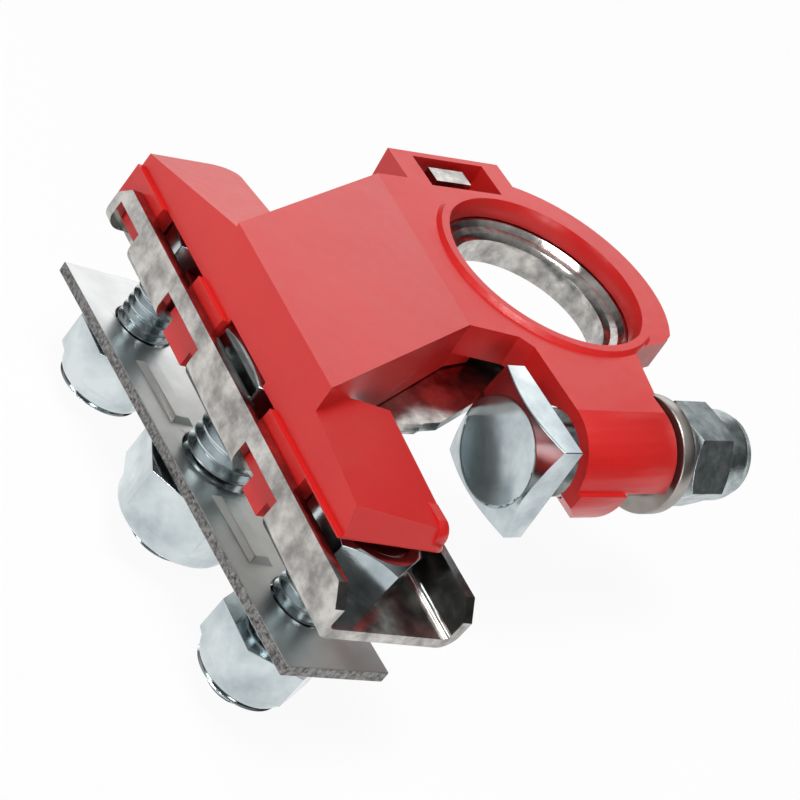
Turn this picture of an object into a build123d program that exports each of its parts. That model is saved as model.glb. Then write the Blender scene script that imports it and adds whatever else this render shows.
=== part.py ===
"""Battery terminal clamp with a three-bolt cable bar, under its plastic cover.

Origin: on the axis of the post bore, at the lower face of the clamp ring.
+Z runs up the post, X runs along the pinch bolt, Y along the cable bar.
The cable channel leans back from the ring, so it has a frame of its own: u across it
(0 at the outer face of the flange next to the ring, negative away from the ring),
v along it (equal to Y) and w up the cable bolts (0 at the underside of the web).
"""
import os
from math import atan2, cos, degrees, radians, sin, sqrt, tan

from build123d import *

REACH = 60.0                   # length of a tool that cuts right through
OVER = 1.0                     # how far a tool runs past the face that it cuts

# ---- sheet metal clamp -------------------------------------------------------------
SHEET = 1.1                    # tinned sheet
BORE_R = 9.5                   # bore that grips a tapered post
BORE_LAND = 3.1                # height of the straight land of the bore
FLARE_R = 11.3                 # inner radius at the mouth of the flared lip
FLARE_TOP = 4.5                # height of the lip
FLARE_FOOT = 2.9               # underside of the lip
FLARE_ROLL, FLARE_RISE = 0.5, (0.6, 0.8)    # roll out of the land, and its two heights
BASE_R = 15.8                  # flat plate round the foot of the ring
PINCH_GAP = 3.4                # slot between the two ears
EAR_LEFT, EAR_RIGHT = -9.3, 2.7      # outer faces of the two ears, along X
BEND_V = (-20.8, 3.0)          # stretch of the channel that the neck joins
BEND_TAIL = 3.6                # flat left beyond the bend
BEND_LAP = 2.0                 # lap of the bend down the flange
NECK_OUTLINE = [(-26.6, -20.8), (-25.7, -19.4), (-24.8, -18.4), (-23.2, -17.7), (-21.1, -17.5),
                (-10.6, -12.4), (-4.0, -9.0), (6.0, 8.5), (-6.0, 10.6), (-15.0, 10.8),
                (-26.6, 3.0)]
TAB_X = (-7.1, -2.2)           # locating tab in the window of the cover
TAB_Y = (14.1, 15.2)
TAB_TOP = 6.9
TAB_LIP_Y = 16.4               # end of the lip that is folded over at the top of the tab

# ---- cable channel -----------------------------------------------------------------
TILT = 10.9                    # lean of the channel, degrees
CHANNEL_FOOT = (-29.11, 0.0, -4.87)  # where the ring-side face and the underside meet
CHANNEL_WIDTH = 16.6
FLANGE_HEIGHT = 5.0
CHANNEL_V = (-39.4, 12.2)      # ends of the channel
END_CHAMFER = 1.6
BEND_R = 1.7                   # outer bend radius
SLOTS_V = [(6.1, 11.0), (-9.5, -1.9), (-27.7, -20.8)]
SLOT_HEIGHT = 3.2              # how far up the flange a slot reaches
SLOT_INTO_WEB = 2.4

# ---- bolts and nuts ----------------------------------------------------------------
BOLT_U = -CHANNEL_WIDTH / 2    # all three stand on the middle line of the channel
BOLT_LENGTH = 18.0             # below the head
HOLE_PLAY = 0.15               # radial clearance of a bolt in a plain hole
THREAD_PLAY = 0.06             # radial clearance drawn between a thread and its nut
CHAMFER_ANGLE = 30.0           # bevel of a hexagon's corners
FACE_INSET = 0.1               # the round end face stops this far inside the flats
CORNER_OVER = 0.05             # how far a bevel's tool clears the corners
CABLE_BOLTS = {                # place along v, thread, across flats, head height
    "rear": (7.0, 6.0, 10.0, 4.0),
    "middle": (-12.6, 8.0, 13.0, 5.3),
    "front": (-30.4, 6.0, 10.0, 4.0),
}
CABLE_NUTS = {                 # seat below the web, hexagon height, cap height, turn
    "rear": (9.9, 4.3, 1.9, 0.0),
    "middle": (8.15, 5.0, 2.2, 22.0),
    "front": (9.1, 4.3, 1.9, 0.0),
}
CAP_ROUND = 1.2                # slope round the end of a cap
INSERT_WALL = 1.1              # wall of the locking ring
INSERT_DEPTH = 1.4             # depth of its seat below the end of the cap
INSERT_SHORT = 0.25            # how far it stops short of the end of the cap
INSERT_SIDES = 16              # flats round the ring, its bore and its seat

# ---- cable bar ---------------------------------------------------------------------
BAR_TIP = 3.16                 # the loose bar hangs lower at its +v end, degrees
BAR_MIDDLE = (-11.4, -6.6)     # v and w of the middle of its upper face
BAR_SIZE = (12.2, 53.6, 1.2)   # width, length and thickness
BEAD_U, BEAD_WIDTH, BEAD_HEIGHT = -2.4, 2.8, 0.5     # pressed beads, left of the bolts
BEADS = [(7.8, 9.0), (-10.6, 8.6)]   # middle and length of each bead along the bar
BEAD_SLOPE = 0.6               # inset of the top of a bead

# ---- pinch bolt --------------------------------------------------------------------
PINCH_Y, PINCH_Z = -21.2, 1.1
PINCH_D = 6.0
HEAD_SQUARE = 11.8
HEAD_THICK = 3.5
HEAD_BACK_X = -12.8
HEAD_FLAT_R = 5.5              # round face left by the bevel of the four corners
HEAD_BEVEL = 1.2               # drop of the bevel at the corners
HEAD_DISH = 0.35               # depth of the dish in that face
SHANK_CHAMFER = 0.6
PINCH_END_X = 16.4
EYE_R = 4.4                    # outer radius of the rolled ears
WASHER_R, WASHER_THICK = 6.25, 1.75
WASHER_BORE_PLAY = 0.2
WASHER_PLAY = 0.7              # gap between the washer and the ear
WASHER_ROOM = 0.5              # room beside the washer
SPRING_R, SPRING_THICK = 5.1, 1.4    # split spring washer
SPRING_SLIT, SPRING_SLANT = 1.2, 25.0    # width and slant of its split
SPRING_PLAY = 0.05
PINCH_NUT_FLATS = 10.0
PINCH_NUT_HEX, PINCH_NUT_CAP = 5.6, 3.6

# ---- cover -------------------------------------------------------------------------
WALL = 1.5
FIT = 0.2                      # room left round the metal
COVER_TOP = 7.0
COVER_R = 15.5
OPENING_R = 12.0
OPENING_LIP = 0.3              # step inside the opening, over the flared lip
COLLAR_R, COLLAR_HEIGHT, COLLAR_DRAFT = 13.3, 0.5, 0.4
COLLAR_ARC = (135.0, 310.0)
RING_FOOT = 3.2                # lower edge of the ring and the deck
SKIRT = 1.35                   # lower edge of the skirt, just above the sheet
DECK_OUTLINE = [(-15.56, 13.7), (-11.0, 13.7), (4.94, 14.2), (12.3, -9.1), (11.4, -10.0),
                (5.2, -11.8), (4.3, -14.3), (2.5, -21.0), (-9.7, -21.0), (-9.6, -15.4),
                (-9.7, -12.5), (-10.9, -11.1), (-13.2, -10.6), (-16.67, -9.87)]
RING_END = [(20.0, -9.1), (12.3, -9.1), (11.4, -10.0), (5.2, -11.8), (4.3, -14.3), (2.7, -20.3),
            (2.7, -40.0), (20.0, -40.0)]     # cut off the ring beside the arm
BLOCK_OUTLINE = [(-13.0, 13.7), (-15.56, 13.7), (-41.5, -1.9), (-50.0, -6.9), (-50.0, -27.6),
                 (-41.4, -22.8), (-16.67, -9.87), (-13.0, -9.0)]
BLOCK_TOP = [(-15.56, 13.71, 7.0), (-16.67, -9.87, 7.0), (-41.29, -12.4, 9.96)]
BLOCK_SKIRT_X = -28.6          # the skirt reaches below the sheet only left of this
BACK_U = 1.85 - CHANNEL_WIDTH  # back wall
STRIP_U = 1.3 - CHANNEL_WIDTH  # thicker strip along its foot
STRIP_W = 6.1                  # top of the strip and of the windows in it
STRIP_V = (-33.9, 13.8)
FLANGE_ROOM_U = (-1.3, 12.0)   # room for the flange next to the ring and for the neck
FLANGE_ROOM_W = 6.4            # top of that room
LEFT_WING = {                  # limits along v, top through three points, far side (u, w)
    "v": (-3.0, 13.9),
    "top": [(-14.5, 13.9, 7.57), (-5.1, 13.9, 9.04), (-15.2, -2.19, 11.97)],
    "far": [(-5.5, 9.3), (-1.8, 5.6)],
    "round": 2.4,
}
RIGHT_WING = {
    "v": (-33.9, -20.0),
    "top": [(-15.2, -23.4, 9.7), (-15.2, -32.9, 8.75), (-3.0, -30.7, 8.15)],
    "far": [(-3.0, 8.4), (-1.7, 6.0)],
    "round": 2.0,
}
RIGHT_WING_END = [(-32.7, 8.9), (-33.9, 6.0)]        # slope of its end, (v, w)
WING_FOOT = 1.25
WING_ROOF = 16.0
WINDOWS_V = [(-2.4, 7.0), (-19.4, -8.3)]
OPEN_END_V, OPEN_END_W = (-36.0, -27.3), 5.9         # the right wing is open below
END_LIP = [(-4.2, -3.0), (-33.7, -30.4), (5.9, 8.3)]
END_LIP_ROUND = 1.5
HOOKS_V = [(-7.6, -3.2), (-25.9, -22.8)]             # hooks that snap into two of the slots
HOOK_U, HOOK_W = (STRIP_U, STRIP_U + 0.9), (-0.4, 1.5)
BRACKET_X, BRACKET_Y = (-11.5, 4.4), (12.0, 18.8)
WINDOW_X, WINDOW_Y = (-8.5, 1.6), (12.95, 18.0)
ARM_R = 5.9                    # outside of the arm, round the pinch bolt
ARM_X = (-9.7, 2.7)
ARM_ROOM_Z = 5.6               # room under the arm for the ears
CLIP_R = 6.5                   # outside of the clip that wraps under the ears
CLIP_OUTLINE = [(-9.7, 1.6), (-9.7, -0.2), (-6.0, -3.7), (-3.5, -3.9), (-3.3, 1.6)]


def channel_frame(u=0.0, v=0.0, w=0.0):
    """Location of a point in the frame of the leaning channel."""
    return Location(CHANNEL_FOOT, (0, TILT, 0)) * Location((u, v, w))


def box_between(x, y, z):
    """Box from pairs of limits."""
    size = [b - a for a, b in (x, y, z)]
    centre = [(a + b) / 2 for a, b in (x, y, z)]
    return Pos(*centre) * Box(*size)


def prism(points, z0, z1):
    """Straight prism over a plan outline."""
    face = make_face(Polyline(*points, close=True))
    return Pos(0, 0, z0) * extrude(face, z1 - z0, dir=(0, 0, 1))


def turned(points):
    """Solid of revolution about Z from a half section in radius and height."""
    return revolve(Plane.XZ * make_face(Polyline(*points, close=True)), Axis.Z)


def below(body, points, drop=0.0):
    """Part of a body under the plane through three points, lowered by a drop."""
    a, b, c = (Vector(*point) for point in points)
    normal = (b - a).cross(c - a).normalized()
    if normal.Z < 0:
        normal = -normal
    return split(body, bisect_by=Plane(origin=a - normal * drop, z_dir=normal), keep=Keep.BOTTOM)


def hexagon(flats, height, both_ends=False):
    """Hexagonal prism with flats facing +-X, its corners bevelled at the top."""
    corner, flat = flats / sqrt(3) + CORNER_OVER, flats / 2 - FACE_INSET
    drop = (corner - flat) * tan(radians(CHAMFER_ANGLE))
    points = [(0, 0), (corner, 0), (corner, height - drop), (flat, height), (0, height)]
    if both_ends:
        points[1:2] = [(flat, 0), (corner, drop)]
    return extrude(RegularPolygon(flats / sqrt(3), 6, rotation=30), height) & turned(points)


# ---- the sheet metal clamp ---------------------------------------------------------
def make_ring():
    """Drawn collar: straight land, bead and flared lip, as one revolved section."""
    lip_r, outer_r = FLARE_R + SHEET, BORE_R + SHEET
    low, high = (BORE_LAND + rise for rise in FLARE_RISE)
    return turned([
        (BORE_R, 0), (BORE_R, BORE_LAND), (BORE_R + FLARE_ROLL, low), (FLARE_R - FLARE_ROLL, high),
        (FLARE_R, FLARE_TOP), (lip_r, FLARE_TOP), (lip_r, FLARE_FOOT), (outer_r, FLARE_FOOT),
        (outer_r, 0)])


def channel_section(inset):
    """Plan of the space inside the channel's outer skin, inset by a distance."""
    right, left, foot, top = -inset, inset - CHANNEL_WIDTH, inset, FLANGE_HEIGHT + inset
    path = FilletPolyline((right, top), (right, foot), (left, foot), (left, top),
                          radius=BEND_R - inset)
    return make_face([path, Line((left, top), (right, top))])


def make_channel():
    """U-shaped channel with notched ends, slots across its outer bend and three holes."""
    v0, v1 = CHANNEL_V
    section = channel_section(0) - channel_section(SHEET)
    body = Pos(0, v1, 0) * extrude(Plane.XZ * section, v1 - v0)
    for v, side in ((v0, 1), (v1, -1)):
        top = FLANGE_HEIGHT + OVER
        corner = [(v - side * OVER, top), (v - side * OVER, FLANGE_HEIGHT - END_CHAMFER - OVER),
                  (v + side * (END_CHAMFER + OVER), top)]
        notch = extrude(Plane.YZ * make_face(Polyline(*corner, close=True)), -CHANNEL_WIDTH - OVER)
        body -= notch
    for low, high in SLOTS_V:
        body -= box_between((-CHANNEL_WIDTH - OVER, SLOT_INTO_WEB - CHANNEL_WIDTH), (low, high),
                            (-OVER, SLOT_HEIGHT))
    return channel_frame() * (body - bolt_holes())


def bolt_holes():
    """Cutters for the three bolts, in the frame of the channel."""
    return [Pos(BOLT_U, v, 0) * Cylinder(thread / 2 + HOLE_PLAY, REACH)
            for v, thread, _, _ in CABLE_BOLTS.values()]


def make_neck_bend():
    """Rounded bend that carries the neck plate down into the ring-side flange."""
    lean = radians(TILT)
    along = Vector(cos(lean), sin(lean))
    start = FLANGE_HEIGHT - BEND_LAP
    skins = []
    for inset, height in ((SHEET, SHEET), (0, 0)):
        corner_w = (height - CHANNEL_FOOT[2] - inset * sin(lean)) / cos(lean)
        corner = Vector(-inset, corner_w)
        far = corner + along * BEND_TAIL
        skins.append(FilletPolyline((-inset, start), (corner.X, corner.Y), (far.X, far.Y),
                                    radius=BEND_R - SHEET + inset))
    top, under = skins
    section = make_face([top, Line(top @ 1, under @ 1), under, Line(under @ 0, top @ 0)])
    v0, v1 = BEND_V
    return channel_frame(0, v1, 0) * extrude(Plane.XZ * section, v1 - v0)


def make_clamp_body():
    """One stamping: ring, neck plate, rolled ears, locating tab and cable channel."""
    slot_mid = (EAR_LEFT + EAR_RIGHT) / 2
    eye_axis = Pos(slot_mid, PINCH_Y, PINCH_Z) * Rot(0, 90, 0)
    body = prism(NECK_OUTLINE, 0, SHEET) + Pos(0, 0, SHEET / 2) * Cylinder(BASE_R, SHEET)
    body += box_between((EAR_LEFT, EAR_RIGHT), (PINCH_Y, 0), (0, SHEET))
    body += eye_axis * Cylinder(EYE_R, EAR_RIGHT - EAR_LEFT)
    body += box_between(TAB_X, (BORE_R, TAB_Y[1]), (0, SHEET))
    body += box_between(TAB_X, TAB_Y, (0, TAB_TOP))
    body += box_between(TAB_X, (TAB_Y[0], TAB_LIP_Y), (TAB_TOP - SHEET, TAB_TOP))
    body += make_neck_bend()
    body -= Cylinder(BORE_R + SHEET / 2, REACH)
    body += make_ring()
    body -= eye_axis * Cylinder(EYE_R - SHEET, REACH)
    slit = (slot_mid - PINCH_GAP / 2, slot_mid + PINCH_GAP / 2)
    body -= box_between(slit, (-REACH, -BORE_R / 2), (-REACH, REACH))
    beside_washer = PINCH_Y + WASHER_R + WASHER_ROOM
    body -= box_between((EAR_RIGHT, REACH), (-REACH, beside_washer), (-REACH, REACH))
    return body + make_channel()


# ---- bolts, washers and nuts -------------------------------------------------------
def insert_prism(radius, z0, z1):
    """Many-sided prism of the locking ring's outside and of its seat."""
    return Pos(0, 0, z0) * extrude(RegularPolygon(radius, INSERT_SIDES), z1 - z0)


def nut_with_cap(thread, flats, hex_height, cap_height, both_ends=False):
    """Lock nut standing on z = 0: bevelled hexagon, domed cap and seat for its ring."""
    top, rim = hex_height + cap_height, flats / 2 - FACE_INSET
    body = hexagon(flats, hex_height, both_ends)
    body += turned([(0, hex_height), (rim, hex_height), (rim, top - CAP_ROUND),
                    (rim - CAP_ROUND, top), (0, top)])
    body -= insert_prism(thread / 2 + INSERT_WALL, top - INSERT_DEPTH, top + OVER)
    return body - Cylinder(thread / 2 + THREAD_PLAY, REACH)


def locking_ring(thread, hex_height, cap_height):
    """Plain ring held in the cap of a lock nut."""
    top = hex_height + cap_height
    bore = RegularPolygon(thread / 2 + THREAD_PLAY, INSERT_SIDES, major_radius=False)
    ring = insert_prism(thread / 2 + INSERT_WALL, top - INSERT_DEPTH, top - INSERT_SHORT)
    return ring - extrude(bore, REACH)


def cable_bolt(thread, flats, head_height):
    """Hex bolt hanging from z = 0, its head above and its shank below."""
    shank = Pos(0, 0, -BOLT_LENGTH / 2) * Cylinder(thread / 2, BOLT_LENGTH)
    return hexagon(flats, head_height) + shank


def make_bar():
    """Flat bar with two pressed beads and three holes, tipped on the middle nut."""
    width, length, thick = BAR_SIZE
    body = Pos(0, 0, -thick / 2) * Box(width, length, thick)
    for middle, size in BEADS:
        foot = Pos(BEAD_U, middle, 0) * Rectangle(BEAD_WIDTH, size)
        bead = extrude(foot, BEAD_HEIGHT, taper=degrees(atan2(BEAD_SLOPE, BEAD_HEIGHT)))
        body += bead
        body -= Pos(0, 0, -thick) * bead
    v, w = BAR_MIDDLE
    body = Pos(BOLT_U, v, w) * Rot(-BAR_TIP, 0, 0) * body
    return channel_frame() * (body - bolt_holes())


def make_cable_hardware():
    """Bolt, nut and locking ring at each hole of the channel, by node name."""
    nodes = {}
    for name, (v, thread, flats, head) in CABLE_BOLTS.items():
        seat, hex_height, cap, turn = CABLE_NUTS[name]
        nodes[f"cable_bolt_{name}"] = channel_frame(BOLT_U, v, SHEET) * cable_bolt(
            thread, flats, head)
        under = channel_frame(BOLT_U, v, -seat) * Rot(180, 0, turn)
        nodes[f"cable_nut_{name}"] = under * nut_with_cap(thread, flats, hex_height, cap)
        nodes[f"cable_nut_ring_{name}"] = under * locking_ring(thread, hex_height, cap)
    return nodes


def make_pinch_bolt():
    """Bolt with a square head: corners bevelled by a cone, round face slightly dished."""
    corner = HEAD_SQUARE / sqrt(2) + CORNER_OVER
    head = extrude(Rectangle(HEAD_SQUARE, HEAD_SQUARE), HEAD_THICK)
    head &= turned([(0, 0), (corner, 0), (corner, HEAD_THICK - HEAD_BEVEL),
                    (HEAD_FLAT_R, HEAD_THICK), (0, HEAD_THICK - HEAD_DISH)])
    length = PINCH_END_X - HEAD_BACK_X
    bolt = head + turned([(0, 0), (PINCH_D / 2, 0), (PINCH_D / 2, SHANK_CHAMFER - length),
                          (PINCH_D / 2 - SHANK_CHAMFER, -length), (0, -length)])
    return Pos(HEAD_BACK_X, PINCH_Y, PINCH_Z) * Rot(0, -90, 0) * bolt


def washer(radius, thick):
    """Plain washer for the pinch bolt, standing on z = 0."""
    bore = PINCH_D / 2 + WASHER_BORE_PLAY
    return Pos(0, 0, thick / 2) * (Cylinder(radius, thick) - Cylinder(bore, REACH))


def make_pinch_hardware():
    """Square-headed bolt, two washers, lock nut and locking ring on the pinch axis."""
    faces = [EAR_RIGHT + WASHER_PLAY]
    for step in (WASHER_THICK, SPRING_THICK):
        faces.append(faces[-1] + step + SPRING_PLAY)
    at_washer, at_spring, at_nut = (
        Pos(x, PINCH_Y, PINCH_Z) * Rot(0, 90, 0) for x in faces)
    slit = Pos(SPRING_R, 0, 0) * Rot(SPRING_SLANT, 0, 0) * Box(SPRING_R, SPRING_SLIT, REACH)
    nut_size = PINCH_NUT_HEX, PINCH_NUT_CAP
    return {
        "pinch_bolt": make_pinch_bolt(),
        "pinch_washer": at_washer * washer(WASHER_R, WASHER_THICK),
        "pinch_spring_washer": at_spring * (washer(SPRING_R, SPRING_THICK) - slit),
        "pinch_nut": at_nut * nut_with_cap(PINCH_D, PINCH_NUT_FLATS, *nut_size, True),
        "pinch_nut_ring": at_nut * locking_ring(PINCH_D, *nut_size),
    }


# ---- the cover ---------------------------------------------------------------------
def block_shell(inset):
    """Solid of the block over the channel, inset on its top, sides and back."""
    plan = offset(make_face(Polyline(*BLOCK_OUTLINE, close=True)), -inset, kind=Kind.INTERSECTION)
    body = Pos(0, 0, -REACH / 2) * extrude(plan, REACH, dir=(0, 0, 1))
    back = channel_frame(BACK_U + inset)
    body -= back * box_between((-REACH, 0), (-REACH, REACH), (-REACH, REACH))
    return below(body, BLOCK_TOP, inset)


def wing(shape, inset):
    """Wing over a bolt head, inset on every side: sloping top, far side and round corner."""
    v0, v1 = shape["v"]
    body = box_between((BACK_U + inset, FLANGE_ROOM_U[0]), (v0 + inset, v1 - inset),
                       (WING_FOOT + inset, WING_ROOF))
    body = below(body, shape["top"], inset)
    (u0, w0), (u1, w1) = shape["far"]
    body = below(body, [(u0, 0, w0), (u0, 1, w0), (u1, 0, w1)], inset)
    v_end = v1
    if shape is RIGHT_WING:
        (va, wa), (vb, wb) = RIGHT_WING_END
        body = below(body, [(0, va, wa), (1, va, wa), (0, vb, wb)], inset)
        v_end = (va + vb) / 2
    if not inset:
        middle = Vector((u0 + u1) / 2, v_end, (w0 + w1) / 2)
        corner = min(body.edges(), key=lambda edge: (edge.center() - middle).length)
        body = fillet(corner, shape["round"])
    return channel_frame() * body


def make_ring_cover():
    """Ring with its bracket, its deck and the arm over the ears, cut off beside the arm."""
    lip_r, lip_z = FLARE_R + SHEET + FIT, FLARE_TOP + FIT / 2    # room for the flared lip
    inner = OPENING_R - OPENING_LIP
    ring = turned([(OPENING_R, COVER_TOP), (COVER_R, COVER_TOP), (COVER_R, RING_FOOT),
                   (lip_r, RING_FOOT), (lip_r, lip_z), (inner, lip_z)])
    body = prism(DECK_OUTLINE, RING_FOOT, COVER_TOP)
    body += box_between(BRACKET_X, BRACKET_Y, (SKIRT, COVER_TOP))
    body += box_between(ARM_X, (PINCH_Y, -OPENING_R), (PINCH_Z, COVER_TOP))
    body += arm_axis() * Cylinder(ARM_R, ARM_X[1] - ARM_X[0])
    body -= Cylinder(lip_r, REACH)
    return body + (ring - prism(RING_END, -REACH, REACH))


def arm_axis():
    """Middle of the arm, turned to run along the pinch bolt."""
    return Pos((ARM_X[0] + ARM_X[1]) / 2, PINCH_Y, PINCH_Z) * Rot(0, 90, 0)


def make_clip():
    """Hook of the arm that wraps under the rolled ears."""
    face = Plane.XZ * make_face(Polyline(*CLIP_OUTLINE, close=True))
    flap = Pos(0, PINCH_Y, 0) * extrude(face, CLIP_R)
    return flap & (arm_axis() * Cylinder(CLIP_R, REACH))


def make_cover():
    """One moulding: ring with collar, arm, bracket, block and two wings."""
    body = make_ring_cover()
    body += block_shell(0) + wing(LEFT_WING, 0) + wing(RIGHT_WING, 0)
    strip = box_between((STRIP_U, BACK_U + WALL), STRIP_V, (WING_FOOT, STRIP_W))
    body += channel_frame() * strip
    cavity = block_shell(WALL) + wing(LEFT_WING, WALL) + wing(RIGHT_WING, WALL)
    body -= cavity - Cylinder(COVER_R, REACH)
    body -= Cylinder(OPENING_R - OPENING_LIP, REACH)
    body -= box_between(WINDOW_X, WINDOW_Y, (-REACH, REACH))
    # room for the metal
    body -= box_between((EAR_LEFT - FIT, REACH), (PINCH_Y, -OPENING_R), (-REACH, ARM_ROOM_Z))
    body -= box_between((BLOCK_SKIRT_X, REACH), (-REACH, REACH), (-REACH, SKIRT))
    body += make_clip()
    body -= arm_axis() * Cylinder(EYE_R + FIT, ARM_X[1] - ARM_X[0] + 2 * OVER)
    body -= Pos(ARM_X[1], PINCH_Y, PINCH_Z) * Rot(0, 90, 0) * Cylinder(
        WASHER_R + FIT, 2 * WASHER_THICK, align=(Align.CENTER, Align.CENTER, Align.MIN))
    cuts = [(FLANGE_ROOM_U, (-REACH, REACH), (-REACH, FLANGE_ROOM_W)),
            ((-REACH, 0), (-REACH, REACH), (-REACH, SHEET + FIT)),
            ((-REACH, 0), OPEN_END_V, (0, OPEN_END_W))]
    cuts += [((-REACH, BACK_U + 2 * WALL), limits, (0, STRIP_W)) for limits in WINDOWS_V]
    for cut in cuts:
        body -= channel_frame() * box_between(*cut)
    for v, _, flats, head in CABLE_BOLTS.values():
        pocket = RegularPolygon(flats / sqrt(3) + FIT, 6, rotation=30)
        body -= channel_frame(BOLT_U, v, 0) * extrude(pocket, SHEET + head + FIT)
    body += make_lip_and_hooks()
    body += Rot(0, 0, COLLAR_ARC[0]) * make_collar()
    return max(body.solids(), key=lambda solid: solid.volume)


def make_lip_and_hooks():
    """Lip at the open end of the right wing and the two hooks that hold the cover down."""
    lip = box_between(*END_LIP)
    edge = min(lip.edges(), key=lambda e: e.center().Y * 2 - e.center().Z)
    lip = fillet(edge, END_LIP_ROUND)
    hooks = [box_between(HOOK_U, limits, HOOK_W) for limits in HOOKS_V]
    return [channel_frame() * shape for shape in [lip] + hooks]


def make_collar():
    """Low raised rim round part of the opening."""
    rim = COVER_TOP + COLLAR_HEIGHT
    section = Polyline((OPENING_R, COVER_TOP), (COLLAR_R, COVER_TOP), (COLLAR_R - COLLAR_DRAFT, rim),
                       (OPENING_R, rim), close=True)
    return revolve(Plane.XZ * make_face(section), Axis.Z, COLLAR_ARC[1] - COLLAR_ARC[0])


def write_parts():
    """Every node to its own file."""
    nodes = {"cover": make_cover(), "clamp_body": make_clamp_body(), "clamp_bar": make_bar()}
    nodes.update(make_cable_hardware())
    nodes.update(make_pinch_hardware())
    os.makedirs("parts", exist_ok=True)
    for name, shape in nodes.items():
        export_step(shape, f"parts/{name}.step")


write_parts()
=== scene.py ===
# %% [markdown]
# # A covered battery terminal clamp
# This scene dresses a finished mechanical model: a tinned post clamp under a red moulded cover,
# with a pinch bolt and a bar on three bolts that grips the cables. The sizes, places and joints
# come from the loaded frame. Everything here is in metres, with +Z up the battery post.

# %% Load the frame
from math import cos, pi, radians, sin, sqrt, tan

import bmesh
import bpy
from mathutils import Matrix, Vector


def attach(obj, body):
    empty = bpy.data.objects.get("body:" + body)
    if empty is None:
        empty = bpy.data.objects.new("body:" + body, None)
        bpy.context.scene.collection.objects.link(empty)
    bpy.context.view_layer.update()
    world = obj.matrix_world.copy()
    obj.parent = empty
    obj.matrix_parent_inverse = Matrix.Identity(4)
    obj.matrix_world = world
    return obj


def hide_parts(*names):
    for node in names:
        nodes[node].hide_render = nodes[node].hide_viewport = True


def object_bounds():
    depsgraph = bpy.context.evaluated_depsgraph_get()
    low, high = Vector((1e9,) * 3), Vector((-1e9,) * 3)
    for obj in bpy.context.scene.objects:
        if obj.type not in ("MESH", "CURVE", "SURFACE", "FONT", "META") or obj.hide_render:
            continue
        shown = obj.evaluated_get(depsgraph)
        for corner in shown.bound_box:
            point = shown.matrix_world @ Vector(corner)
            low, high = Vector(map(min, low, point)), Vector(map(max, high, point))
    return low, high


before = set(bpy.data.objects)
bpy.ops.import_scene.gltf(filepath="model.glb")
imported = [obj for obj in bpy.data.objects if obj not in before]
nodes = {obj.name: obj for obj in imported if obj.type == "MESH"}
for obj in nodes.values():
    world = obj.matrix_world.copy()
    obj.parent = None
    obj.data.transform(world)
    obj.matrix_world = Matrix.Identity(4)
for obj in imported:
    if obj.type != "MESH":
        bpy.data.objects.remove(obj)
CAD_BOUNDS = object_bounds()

MM = 0.001

# %% [markdown]
# ## Camera
# A small part looks best through a long lens from close by: its far end is then only a little
# smaller than its near end. The camera is rolled as well, so that the post bore leans to the right.
# The rotation is written as the directions of the camera's own axes, which is easier to check than
# three angles. A slight lens shift keeps the framing off centre.

# %% Place the camera
CAMERA_PLACE = Vector((-0.12495, -0.10579, 0.08795))
CAMERA_RIGHT = Vector((0.773, -0.431, 0.465))
CAMERA_UP = Vector((-0.030, 0.708, 0.706))
LENS_MM, SENSOR_MM = 76.56, 36.0
SHIFT_X, SHIFT_Y = -0.0266, 0.0026
NEAREST = 0.005

right = CAMERA_RIGHT.normalized()
back = right.cross(CAMERA_UP).normalized()
up = back.cross(right)
camera_data = bpy.data.cameras.new("camera")
camera_data.lens = LENS_MM
camera_data.sensor_width = SENSOR_MM
camera_data.shift_x = SHIFT_X
camera_data.shift_y = SHIFT_Y
camera_data.clip_start = NEAREST
camera = bpy.data.objects.new("camera", camera_data)
turn = Matrix((right, up, back)).transposed().to_4x4()
camera.matrix_world = Matrix.Translation(CAMERA_PLACE) @ turn
bpy.context.scene.collection.objects.link(camera)
bpy.context.scene.camera = camera
bpy.context.scene.view_settings.view_transform = "Standard"
print("camera axes:", [round(v, 3) for v in (*right, *up, *back)])

# %% [markdown]
# ## Two small helpers
# A material is a tree of nodes. Blender makes each node with one call, sets each value with
# another and joins two sockets with a third. The first helper clears a tree, and the second does
# those three jobs at once, so that each material below can be read as a short list.

# %% Node helpers
def node_tree(owner):
    """Empty node tree of a material or world, ready to be filled."""
    owner.use_nodes = True
    owner.node_tree.nodes.clear()
    return owner.node_tree


def add_node(tree, kind, inputs=None, **options):
    """New node; each input is given a value, or a socket that is linked to it."""
    node = tree.nodes.new("ShaderNode" + kind)
    for option, value in options.items():
        setattr(node, option, value)
    for key, value in (inputs or {}).items():
        if isinstance(value, bpy.types.NodeSocket):
            tree.links.new(value, node.inputs[key])
        else:
            node.inputs[key].default_value = value
    return node


print("node helpers ready")

# %% [markdown]
# ## Floor
# The part stands over a plain white floor. The floor could be made white with more light, but then
# the part would be too bright. Instead its shader adds a steady white for the rays that come from
# the camera, and for those that come from metal or glass, which then show the same white floor. A
# small share stays a matt surface, so that the part's shadow is still seen.

# %% Floor
FLOOR_GAP = 0.0005
FLOOR_HALF = 3.0
FLOOR_TONE = 0.86
WHITE_SHARE = 0.93


def mesh_object(name, vertices, faces):
    """Object from plain vertex and face lists."""
    mesh = bpy.data.meshes.new(name)
    mesh.from_pydata(vertices, [], faces)
    mesh.update()
    made = bpy.data.objects.new(name, mesh)
    bpy.context.scene.collection.objects.link(made)
    return made


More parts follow.
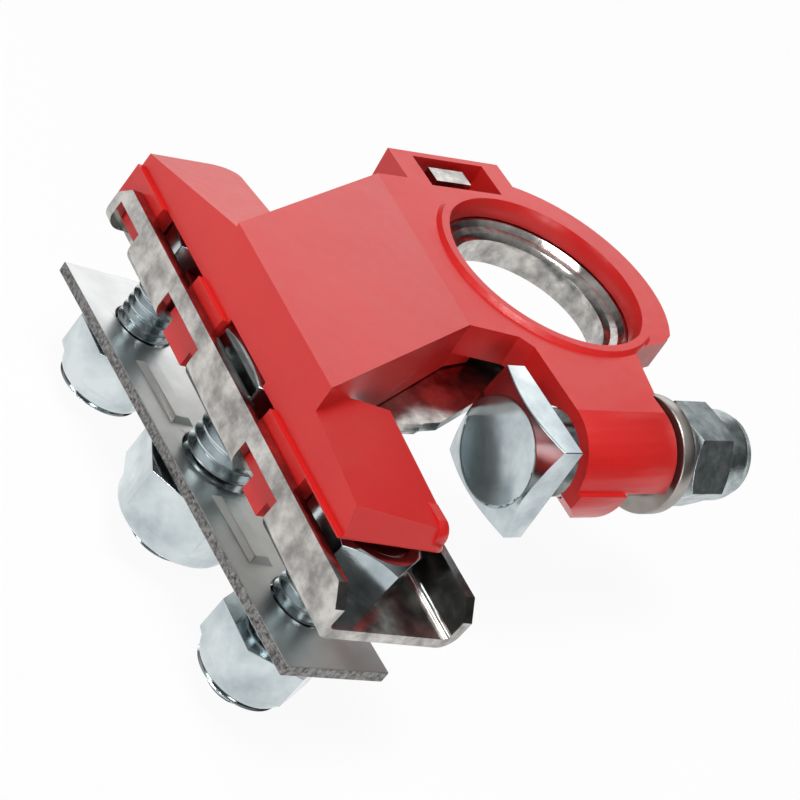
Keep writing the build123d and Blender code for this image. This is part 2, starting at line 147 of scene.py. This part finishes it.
floor_z = CAD_BOUNDS[0][2] - FLOOR_GAP
corners = [(-FLOOR_HALF, -FLOOR_HALF, floor_z), (FLOOR_HALF, -FLOOR_HALF, floor_z),
           (FLOOR_HALF, FLOOR_HALF, floor_z), (-FLOOR_HALF, FLOOR_HALF, floor_z)]
floor = mesh_object("floor", corners, [(0, 1, 2, 3)])
white = bpy.data.materials.new("white_floor")
tree = node_tree(white)
rays = add_node(tree, "LightPath")
seen = add_node(tree, "Math", {0: rays.outputs["Is Camera Ray"], 1: rays.outputs["Is Glossy Ray"]},
                operation="MAXIMUM")
seen = add_node(tree, "Math", {0: seen.outputs[0], 1: rays.outputs["Is Transmission Ray"]},
                operation="MAXIMUM")
share = add_node(tree, "Math", {0: seen.outputs[0], 1: WHITE_SHARE}, operation="MULTIPLY")
matt = add_node(tree, "BsdfDiffuse", {"Color": (FLOOR_TONE, FLOOR_TONE, FLOOR_TONE, 1)})
glow = add_node(tree, "Emission", {"Color": (1, 1, 1, 1), "Strength": 1.0})
mix = add_node(tree, "MixShader", {"Fac": share.outputs[0], 1: matt.outputs[0], 2: glow.outputs[0]})
add_node(tree, "OutputMaterial", {"Surface": mix.outputs[0]})
floor.data.materials.append(white)
print("floor at", round(floor_z, 4))

# %% [markdown]
# ## Light
# Bright metal shows what stands around it, so the light is a few large soft panels with darker
# room between them: the contrast between panel and room is what draws the shape of a nut. The top
# panel is the main one, and the other three only fill the sides.

# %% Light panels
def soft_panel(name, direction, distance, size, power):
    """Square light panel at a distance in a direction, facing the part."""
    light = bpy.data.lights.new(name, "AREA")
    light.shape = "SQUARE"
    light.size = size
    light.energy = power
    panel = bpy.data.objects.new(name, light)
    away = Vector(direction).normalized()
    panel.location = away * distance
    panel.rotation_euler = away.to_track_quat("Z", "Y").to_euler()
    bpy.context.scene.collection.objects.link(panel)


soft_panel("panel_behind", (0.56, 0.74, 0.34), 0.60, 0.42, 0.75)
soft_panel("panel_top", (-0.25, -0.10, 1.0), 0.60, 0.26, 2.7)
soft_panel("panel_left", (-1.0, 0.05, 0.45), 0.70, 0.24, 0.9)
soft_panel("panel_front", (-0.45, -1.0, 0.20), 0.70, 0.20, 1.0)

# %% [markdown]
# ## Room
# Matt surfaces get an even, weak light from the room. A mirror needs more than that: polished
# metal sees a room that is bright overhead and dim at the horizon, like a ceiling over dark walls.

# %% Room
EVEN_LIGHT = 0.15
WALL_LIGHT, CEILING_LIGHT = 0.03, 0.60
WALL_TOP, CEILING_START = 0.25, 0.95

room = bpy.data.worlds.new("room")
bpy.context.scene.world = room
tree = node_tree(room)
even = add_node(tree, "Background", {"Strength": EVEN_LIGHT})
place = add_node(tree, "TexCoord")
split = add_node(tree, "SeparateXYZ", {0: place.outputs["Generated"]})
fade = add_node(tree, "MapRange", {
    "Value": split.outputs["Z"], "From Min": WALL_TOP, "From Max": CEILING_START,
    "To Min": WALL_LIGHT, "To Max": CEILING_LIGHT}, interpolation_type="SMOOTHSTEP")
mirrored = add_node(tree, "Background", {"Strength": fade.outputs["Result"]})
rays = add_node(tree, "LightPath")
choose = add_node(tree, "MixShader", {
    "Fac": rays.outputs["Is Glossy Ray"], 1: even.outputs[0], 2: mirrored.outputs[0]})
add_node(tree, "OutputWorld", {"Surface": choose.outputs[0]})
print("room nodes:", len(tree.nodes))

# %% [markdown]
# ## Building blocks for finishes
# No real finish is even. Its tone drifts over a centimetre, its gloss over a millimetre, and its
# surface has a grain finer than both. All three are noise at a different scale, so a few short
# functions make every finish here: a noise, a colour ramp on it, a range for it, and a bump.

# %% Finish helpers
def principled(name):
    """Material with one principled shader, its tree and the shader."""
    material = bpy.data.materials.new(name)
    tree = node_tree(material)
    shader = add_node(tree, "BsdfPrincipled")
    add_node(tree, "OutputMaterial", {"Surface": shader.outputs[0]})
    return material, tree, shader


def noise(tree, scale, detail=3.0, rough=0.5):
    """Noise in object space; scale is in cycles per metre."""
    place = add_node(tree, "TexCoord")
    texture = add_node(tree, "TexNoise", {
        "Vector": place.outputs["Object"], "Scale": scale, "Detail": detail, "Roughness": rough})
    return texture.outputs["Fac"]


def ramp(tree, value, low, high):
    """Colour ramp on a value: low and high are (position, colour)."""
    node = add_node(tree, "ValToRGB", {"Fac": value})
    for element, (position, colour) in zip(node.color_ramp.elements, (low, high)):
        element.position = position
        element.color = (*colour, 1)
    return node.outputs["Color"]


def remap(tree, value, low, high):
    """Value from 0..1 spread over low..high."""
    return add_node(tree, "MapRange", {"Value": value, "To Min": low, "To Max": high}).outputs["Result"]


def bump(tree, shader, layers):
    """Bump chain from (height, depth in metres) layers into the shader's normal."""
    normal = None
    for height, depth in layers:
        inputs = {"Strength": 1.0, "Distance": depth, "Height": height}
        if normal:
            inputs["Normal"] = normal
        normal = add_node(tree, "Bump", inputs).outputs["Normal"]
    tree.links.new(normal, shader.inputs["Normal"])


print("finish helpers ready")

# %% [markdown]
# ## Red moulded plastic
# The cover is injection moulded from a glossy red plastic. A fine spark texture from the tool
# breaks up its reflections, and slow waves in the surface bend them, as sink marks do. Both are
# noise in the bump of one principled shader, at two scales.

# %% Red plastic
red_plastic, tree, shader = principled("red_plastic")
tree.links.new(ramp(tree, noise(tree, 60, 2), (0.3, (0.62, 0.014, 0.013)), (0.7, (0.68, 0.021, 0.018))),
               shader.inputs["Base Color"])
tree.links.new(remap(tree, noise(tree, 900, 4), 0.26, 0.40), shader.inputs["Roughness"])
shader.inputs["IOR"].default_value = 1.5
bump(tree, shader, [(noise(tree, 4500, 2), 0.000004), (noise(tree, 130, 2), 0.00012)])
print("red plastic:", len(tree.nodes), "nodes")

# %% [markdown]
# ## Tin plate, zinc and steel
# Several metals lie side by side here and look different. The clamp is tin plate, slightly rippled
# by the press. Nuts and bolts are zinc plated, a little blue. The bar is dull galvanised sheet, and
# the washers are darker still. One function makes them all from two tones, a range of gloss, the
# depth of the grain and that of the slow waves.

# %% Metals
def metal(name, dark, light, rough, grain, wave=0.0, cloud_scale=120):
    """Metal whose tone and roughness drift, with fine grain and slow waves in its bump."""
    material, tree, shader = principled(name)
    shader.inputs["Metallic"].default_value = 1.0
    drift = noise(tree, cloud_scale, 4, 0.6)
    tree.links.new(ramp(tree, drift, (0.35, dark), (0.65, light)), shader.inputs["Base Color"])
    tree.links.new(remap(tree, noise(tree, cloud_scale * 3, 4), *rough), shader.inputs["Roughness"])
    layers = [(noise(tree, 5200, 3), grain)]
    if wave:
        layers.append((noise(tree, 160, 2), wave))
    bump(tree, shader, layers)
    return material


tin_plate = metal("tin_plate", (0.26, 0.25, 0.24), (0.62, 0.60, 0.57), (0.10, 0.26), 0.000005, 0.00010, 420)
zinc_plate = metal("zinc_plate", (0.36, 0.42, 0.45), (0.70, 0.76, 0.77), (0.10, 0.20), 0.000003, 0.00004)
zinc_grain = metal("zinc_grain", (0.26, 0.30, 0.31), (0.52, 0.58, 0.59), (0.24, 0.40), 0.000014, 0.00003, 700)
galvanised = metal("galvanised", (0.60, 0.62, 0.61), (0.76, 0.78, 0.77), (0.30, 0.44), 0.000004)
washer_steel = metal("washer_steel", (0.30, 0.27, 0.25), (0.46, 0.43, 0.40), (0.28, 0.42), 0.000004)
spring_steel = metal("spring_steel", (0.10, 0.10, 0.11), (0.30, 0.29, 0.28), (0.35, 0.55), 0.000006)
print("materials:", len(bpy.data.materials))

# %% [markdown]
# ## Sheared edges of the bar
# The bar is cut from coated sheet, so its edges are bare and dark. They could be a second material
# on chosen faces. Here the shader finds them by itself: an edge is where the surface turns away
# from the way the flat face looks, and there a dark speckle takes over from the coating.

# %% Dark edges
BAR_FACE = (0.1889, 0.0541, 0.9805)     # the way the bar's flat face looks: it leans and tips a little
ALL_EDGE, NO_EDGE = 0.25, 0.60

tree = galvanised.node_tree
shader = tree.nodes["Principled BSDF"]
coating = shader.inputs["Base Color"].links[0].from_socket
place = add_node(tree, "TexCoord")
along = add_node(tree, "VectorMath", {0: place.outputs["Normal"], 1: BAR_FACE}, operation="DOT_PRODUCT")
flat = add_node(tree, "Math", {0: along.outputs["Value"]}, operation="ABSOLUTE")
edge = add_node(tree, "MapRange", {"Value": flat.outputs[0], "From Min": ALL_EDGE, "From Max": NO_EDGE,
                                   "To Min": 1.0, "To Max": 0.0})
sheared = ramp(tree, noise(tree, 2600, 4, 0.7), (0.35, (0.05, 0.05, 0.05)), (0.65, (0.34, 0.33, 0.32)))
two_tone = add_node(tree, "Mix", {"Factor": edge.outputs["Result"], "A": coating, "B": sheared},
                    data_type="RGBA")
tree.links.new(two_tone.outputs["Result"], shader.inputs["Base Color"])
print("galvanised:", len(tree.nodes), "nodes")

# %% [markdown]
# ## Nylon
# Each lock nut holds a ring of dark nylon, which grips the thread. It is matt and nearly black,
# with a slight grain.

# %% Nylon
nylon, tree, shader = principled("nylon")
shader.inputs["Roughness"].default_value = 0.5
tree.links.new(ramp(tree, noise(tree, 400, 3), (0.3, (0.030, 0.036, 0.042)), (0.7, (0.055, 0.06, 0.065))),
               shader.inputs["Base Color"])
bump(tree, shader, [(noise(tree, 2500, 2), 0.000006)])
print("nylon:", len(tree.nodes), "nodes")

# %% [markdown]
# ## Softened edges
# No pressed or moulded edge is truly sharp, and a thin line of light along each edge is what
# makes a part look real. A bevel modifier cuts those edges on the model's own meshes. A weld
# comes first, because the loaded meshes are split along every edge.

# %% Softening helper
WELD_WITHIN = 1e-6


def soften(piece, width, angle=28, segments=2):
    """Weld, then bevel the edges sharper than an angle."""
    weld = piece.modifiers.new("weld", "WELD")
    weld.merge_threshold = WELD_WITHIN
    bevel = piece.modifiers.new("edges", "BEVEL")
    bevel.width = width
    bevel.segments = segments
    bevel.limit_method = "ANGLE"
    bevel.angle_limit = radians(angle)
    bevel.harden_normals = True
    bevel.miter_outer = "MITER_ARC"


print("softening helper ready")

# %% [markdown]
# ## Nuts and heads with true bevels
# A nut is turned after its flats are formed, so a cone cuts the six corners and leaves an arc on
# each flat. The same is true of a square head. Both are one kind of shape: rings of points whose
# radius follows the flats, and whose height drops where the cone cuts the corner. One function
# lays such rings one above another, so every nut, head and cap here comes from a short list.

# %% Ring builder
ROUND = 144                     # points round a ring: a multiple of 24 puts points on corners
RING_SHARP = radians(26)


def ring_object(name, rings, place, material, loop=False):
    """Object from rings of (radius, height) in mm; a ring is a pair or a function of the angle."""
    shape = bmesh.new()
    angles = [2 * pi * k / ROUND for k in range(ROUND)]
    rows = []
    for ring in rings:
        pairs = [ring(a) if callable(ring) else ring for a in angles]
        if max(r for r, _ in pairs) == 0:
            rows.append([shape.verts.new(place @ (Vector((0, 0, pairs[0][1])) * MM))])
            continue
        rows.append([shape.verts.new(place @ (Vector((r * cos(a), r * sin(a), z)) * MM))
                     for a, (r, z) in zip(angles, pairs)])
    follow = rows[1:] + (rows[:1] if loop else [])
    for low, high in zip(rows, follow):
        for k in range(ROUND):
            n = (k + 1) % ROUND
            if len(low) == 1:
                shape.faces.new((low[0], high[n], high[k]))
            elif len(high) == 1:
                shape.faces.new((low[k], low[n], high[0]))
            else:
                shape.faces.new((low[k], low[n], high[n], high[k]))
    bmesh.ops.recalc_face_normals(shape, faces=shape.faces)
    mesh = bpy.data.meshes.new(name)
    shape.to_mesh(mesh)
    shape.free()
    mesh.shade_smooth()
    mesh.set_sharp_from_angle(angle=RING_SHARP)
    mesh.materials.append(material)
    made = bpy.data.objects.new(name, mesh)
    bpy.context.scene.collection.objects.link(made)
    return made


print("ring builder ready with", ROUND, "points a ring")

# %% [markdown]
# ## Flats and corner cones
# Two kinds of ring draw a nut. One follows the flats at a steady height. The other also dips
# toward each corner, where the cone of the turning tool has cut it.

# %% Rings of a nut
CONE = tan(radians(30))


def flats_radius(angle, sides, across):
    """Distance from the axis to the flats of a regular prism with a flat facing angle 0."""
    step = 2 * pi / sides
    return across / 2 / cos((angle + step / 2) % step - step / 2)


def bevelled(sides, across, face_r, height, slope, sign=1):
    """Ring where the corner cone meets the flats; sign -1 for the cone at the other end."""
    def ring(angle):
        r = flats_radius(angle, sides, across)
        return r, height - sign * max(0.0, r - face_r) * slope
    return ring


def flat_ring(sides, across, height):
    """Ring along the flats at one height."""
    return lambda angle: (flats_radius(angle, sides, across), height)


print("corner of a 10 mm nut:", round(flats_radius(radians(30), 6, 10.0), 2), "mm from its axis")

# %% [markdown]
# ## Threads
# The cable bolts are threaded right up, and their threads are the clearest detail below the
# channel. A thread is a profile carried along a helix: crest, flank, root, flank. The points of
# one turn are joined to the same points one turn on, so no edge of the helix is stepped. Its
# crests keep the bolt's full diameter and its roots cut inward, as a rolled thread does.

# %% Thread builder
THREAD_STEPS = 40               # points for each turn of the helix
THREAD_DEPTH = 0.60             # of the pitch
CREST_END, ROOT_START, ROOT_END = 0.14, 0.56, 0.66      # places along one pitch


def thread_rings(place, diameter, pitch, top, bottom, chamfer):
    """Mesh data (points, faces) of a threaded rod between two heights, its lower end chamfered."""
    crest, root = diameter / 2, diameter / 2 - THREAD_DEPTH * pitch
    profile = [(0.0, crest), (CREST_END, crest), (ROOT_START, root), (ROOT_END, root)]
    turns = int((top - bottom) / pitch) + 3
    points, faces = [], []
    for step in range(turns * THREAD_STEPS):
        angle = 2 * pi * step / THREAD_STEPS
        for offset, radius in profile:
            height = top + pitch - (step / THREAD_STEPS + offset) * pitch
            height = min(max(height, bottom), top)
            r = min(radius, crest - chamfer + (height - bottom))
            points.append(place @ (Vector((r * cos(angle), -r * sin(angle), height)) * MM))
    rows = len(profile)
    count = turns * THREAD_STEPS
    over = THREAD_STEPS * rows - (rows - 1)
    for step in range(count - 1):
        for k in range(rows):
            a, b = step * rows + k, (step + 1) * rows + k
            if k < rows - 1:
                faces.append((a, b, b + 1, a + 1))
            elif step + THREAD_STEPS + 1 < count:
                faces.append((a, b, b + over, a + over))
    centre = len(points)
    points.append(place @ (Vector((0, 0, bottom)) * MM))
    rim = crest - chamfer
    for k in range(THREAD_STEPS):
        angle = 2 * pi * k / THREAD_STEPS
        points.append(place @ (Vector((rim * cos(angle), -rim * sin(angle), bottom)) * MM))
        faces.append((centre, centre + 1 + k, centre + 1 + (k + 1) % THREAD_STEPS))
    return points, faces


print("thread builder ready:", THREAD_STEPS, "points a turn")

# %% [markdown]
# ## A threaded rod
# Where the helix is cut off flat at its ends, some faces shrink to nothing. They are dissolved,
# and the normals are made to point outward, before the rod is shaded smooth.

# %% Threaded rod
THREAD_SHARP = radians(40)
TINY = 1e-7


def thread_object(name, material, *sizes):
    """Threaded rod as an object of its own; sizes are those of thread_rings."""
    points, faces = thread_rings(*sizes)
    rod = mesh_object(name, points, faces)
    shape = bmesh.new()
    shape.from_mesh(rod.data)
    bmesh.ops.dissolve_degenerate(shape, edges=shape.edges, dist=TINY)
    bmesh.ops.recalc_face_normals(shape, faces=shape.faces)
    shape.to_mesh(rod.data)
    shape.free()
    rod.data.shade_smooth()
    rod.data.set_sharp_from_angle(angle=THREAD_SHARP)
    rod.data.materials.append(material)
    return rod


print("rod helper ready")

# %% [markdown]
# ## Lock nuts
# A lock nut is a hexagon with a domed cap. The cap is a collar that is rolled over the nylon ring
# to hold it in. The nut's profile is one closed loop: up the hexagon, over the dome, round the lip
# and down the bore. The sizes are in millimetres.

# %% Lock nut
FACE_INSET = 0.1                # a nut's round face is this much smaller than its flats
BORE_ROOM = 0.08
LIP_ROOM = 1.12                 # from the thread to the lip of the cap
LIP_DEPTH = 1.4
MOST_SHOULDER, WALL_LEFT = 1.5, 0.1
SHOULDER_STEPS = 8


def cap_rings(rim, low, top, bore):
    """Profile of a domed cap: short wall, quarter-round shoulder, rolled lip round the bore."""
    shoulder = min(top - low - WALL_LEFT, MOST_SHOULDER)
    rings = [(rim, low), (rim, top - shoulder)]
    for k in range(1, SHOULDER_STEPS + 1):
        t = pi / 2 * k / SHOULDER_STEPS
        rings.append((rim - shoulder * (1 - cos(t)), top - shoulder + shoulder * sin(t)))
    rings += [(bore + 0.35, top), (bore + 0.05, top - 0.25), (bore, top - 1.3)]
    return rings


def nut_object(name, place, thread, flats, hexagon, cap, both_ends, finish):
    """Lock nut: bevelled hexagon, domed cap and bore."""
    face = flats / 2 - FACE_INSET
    bore = thread / 2 + BORE_ROOM
    lip = thread / 2 + LIP_ROOM
    top = hexagon + cap
    rings = [(bore, 0)]
    rings += [(face, 0), bevelled(6, flats, face, 0.0, CONE, -1)] if both_ends else [flat_ring(6, flats, 0.0)]
    rings += [bevelled(6, flats, face, hexagon, CONE), (face, hexagon)]
    rings += cap_rings(face, hexagon, top, lip)
    rings += [(lip, top - LIP_DEPTH), (bore, top - LIP_DEPTH)]
    return ring_object(name, rings, place, finish, loop=True)


print("lock nut helper ready")

# %% [markdown]
# ## The cable bolts and their nuts
# Each bolt hangs through the channel with its head inside it, and a lock nut holds the bar from
# below. The places and sizes are those of the model, in millimetres, in the frame of the leaning
# channel. A bolt's thread is parented to its head, so that both ride on the clamp. A nut rides on
# its own body, because it turns.

# %% Cable bolts and nuts
CHANNEL = Matrix.Translation(Vector((-29.11, 0, -4.87)) * MM) @ Matrix.Rotation(radians(10.9), 4, "Y")
SHEET = 1.1
BOLTS = {   # v, thread, pitch, across flats, head, nut seat, nut hexagon, nut cap, nut turn
    "rear": (7.0, 6.0, 1.0, 10.0, 4.0, 9.9, 4.3, 1.9, 0.0),
    "middle": (-12.6, 8.0, 1.25, 13.0, 5.3, 8.15, 5.0, 2.2, 22.0),
    "front": (-30.4, 6.0, 1.0, 10.0, 4.0, 9.1, 4.3, 1.9, 0.0),
}
BOLT_U, BOLT_LENGTH, BOLT_CHAMFER = -8.3, 18.0, 0.5
NUT_EDGE = 0.09 * MM


def place_uvw(u, v, w):
    """Place in the channel's frame, from millimetres."""
    return CHANNEL @ Matrix.Translation(Vector((u, v, w)) * MM)


for key, (v, thread, pitch, flats, head, seat, hexagon, cap, spin) in BOLTS.items():
    top_of_web = place_uvw(BOLT_U, v, SHEET)
    face = flats / 2 - FACE_INSET
    bolt_head = ring_object(f"bolt_head_{key}", [
        (0, 0), flat_ring(6, flats, 0.0), bevelled(6, flats, face, head, CONE), (face, head),
        (face * 0.80, head - 0.02), (face * 0.74, head - 0.22), (0, head - 0.25)],
        top_of_web, zinc_plate)
    soften(bolt_head, NUT_EDGE)
    rod = thread_object(f"bolt_thread_{key}", zinc_plate, top_of_web, thread, pitch,
                        0.0, -BOLT_LENGTH, BOLT_CHAMFER)
    rod.parent = bolt_head
    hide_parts(f"cable_bolt_{key}")
    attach(bolt_head, "clamp")
    under = (place_uvw(BOLT_U, v, -seat) @ Matrix.Rotation(pi, 4, "X")
             @ Matrix.Rotation(radians(spin), 4, "Z"))
    nut = nut_object(f"lock_nut_{key}", under, thread, flats, hexagon, cap, False, zinc_plate)
    soften(nut, NUT_EDGE)
    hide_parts(f"cable_nut_{key}")
    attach(nut, f"cable_nut_{key}")
    print(key, "bolt and nut:", len(rod.data.polygons), "thread faces")

# %% [markdown]
# ## The pinch bolt
# Its square head is forged: a cone takes the four corners off and the face between them is a
# shallow dish, which bends what it mirrors. The shank is smooth up to the washer and threaded at
# its end.

# %% Pinch bolt
PINCH = Vector((0, -21.2, 1.1))
HEAD_BACK_X, SQUARE, HEAD_THICK, HEAD_FACE_R = -12.8, 11.8, 3.5, 5.5
CORNER_DROP, CORNER_SPARE = 1.2, 0.05
DISH = 0.7
DISH_STEPS = (0.98, 0.93, 0.85, 0.75, 0.65, 0.55, 0.45, 0.35, 0.25, 0.15, 0.07)
PINCH_THREAD, PINCH_PITCH = 6.0, 1.0
SHANK_TOP, SHANK_END, THREAD_END, THREAD_CHAMFER = 0.4, -19.2, -29.2, 0.6

to_left = (Matrix.Translation((PINCH + Vector((HEAD_BACK_X, 0, 0))) * MM)
           @ Matrix.Rotation(-pi / 2, 4, "Y"))
corner_slope = CORNER_DROP / (SQUARE / sqrt(2) + CORNER_SPARE - HEAD_FACE_R)
dish = [(HEAD_FACE_R * t, HEAD_THICK - DISH * (1 - t * t)) for t in DISH_STEPS]
head_rings = [(0, 0), flat_ring(4, SQUARE, 0.0),
              bevelled(4, SQUARE, HEAD_FACE_R, HEAD_THICK, corner_slope),
              (HEAD_FACE_R, HEAD_THICK)] + dish + [(0, HEAD_THICK - DISH)]
square_head = ring_object("square_head", head_rings, to_left, zinc_plate)
soften(square_head, 0.16 * MM, segments=3)
shank_r = PINCH_THREAD / 2
shank = ring_object("pinch_shank", [
    (0, SHANK_TOP), (shank_r, SHANK_TOP), (shank_r, SHANK_END),
    (shank_r - 0.3, SHANK_END - 0.2), (0, SHANK_END - 0.2)], to_left, zinc_plate)
pinch_thread = thread_object("pinch_thread", zinc_plate, to_left, PINCH_THREAD, PINCH_PITCH,
                             SHANK_END, THREAD_END, THREAD_CHAMFER)
shank.parent = square_head
pinch_thread.parent = square_head
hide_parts("pinch_bolt")
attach(square_head, "pinch_bolt")
print("square head rings:", len(head_rings))

# %% [markdown]
# ## The pinch nut
# It is a taller lock nut, bevelled at both ends and duller than the others, with a coarse grain in
# its zinc.

# %% Pinch nut
NUT_SEAT_X = 6.65

to_right = (Matrix.Translation((PINCH + Vector((NUT_SEAT_X, 0, 0))) * MM)
            @ Matrix.Rotation(pi / 2, 4, "Y"))
pinch_nut = nut_object("lock_nut_pinch", to_right, PINCH_THREAD, 10.0, 5.6, 3.6, True, zinc_grain)
soften(pinch_nut, 0.10 * MM)
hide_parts("pinch_nut")
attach(pinch_nut, "pinch_nut")
print("pinch nut:", len(pinch_nut.data.polygons), "faces")

# %% [markdown]
# ## The cover
# In the model, a corner of the left wing stands out of the block's top by less than a millimetre
# and a half. The moulding has a clean face there. So a copy of the cover stands in for it, with
# those few points let down onto the plane of the block's top, which three of its corners give.

# %% Cover
BLOCK_TOP = ((-15.56, 13.71, 7.0), (-16.67, -9.87, 7.0), (-41.29, -12.4, 9.96))
PRESS_X, PRESS_Y, PRESS_ABOVE = (-43.0, -26.0), (-3.6, -0.5), 7.0
PRESS_MOST = 1.2 * MM

moulding = nodes["cover"].copy()
moulding.data = nodes["cover"].data.copy()
moulding.name = "moulded_cover"
moulding.parent = None
moulding.matrix_world = Matrix.Identity(4)
bpy.context.scene.collection.objects.link(moulding)
first, second, third = (Vector(corner) * MM for corner in BLOCK_TOP)
normal = (second - first).cross(third - first).normalized()
normal = normal if normal.z > 0 else -normal
pressed = 0
for vertex in moulding.data.vertices:
    x, y, z = vertex.co / MM
    height = (vertex.co - first).dot(normal)
    in_patch = PRESS_X[0] < x < PRESS_X[1] and PRESS_Y[0] < y < PRESS_Y[1] and z > PRESS_ABOVE
    if in_patch and WELD_WITHIN < height < PRESS_MOST:
        vertex.co.z -= height / normal.z
        pressed += 1
moulding.material_slots[0].material = red_plastic
soften(moulding, 0.30 * MM)
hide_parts("cover")
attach(moulding, "clamp")
print("pressed flat:", pressed)

# %% [markdown]
# ## The model's own pieces
# The clamp, the bar, the washers and the nylon rings keep the model's own meshes. They get a finish
# and a softened edge each. The nodes that were replaced above need neither.

# %% Dress the nodes
def dress(names, material, width):
    """Give nodes a material and softened edges."""
    for name in names:
        for slot in nodes[name].material_slots:
            slot.material = material
        soften(nodes[name], width)


rings = [n for n in nodes if n.startswith("cable_nut_ring") or n == "pinch_nut_ring"]
dress(["clamp_body"], tin_plate, 0.12 * MM)
dress(["clamp_bar"], galvanised, 0.10 * MM)
dress(["pinch_washer"], washer_steel, 0.15 * MM)
dress(["pinch_spring_washer"], spring_steel, 0.10 * MM)
dress(rings, nylon, 0.10 * MM)
print("dressed:", 4 + len(rings), "of", len(nodes))
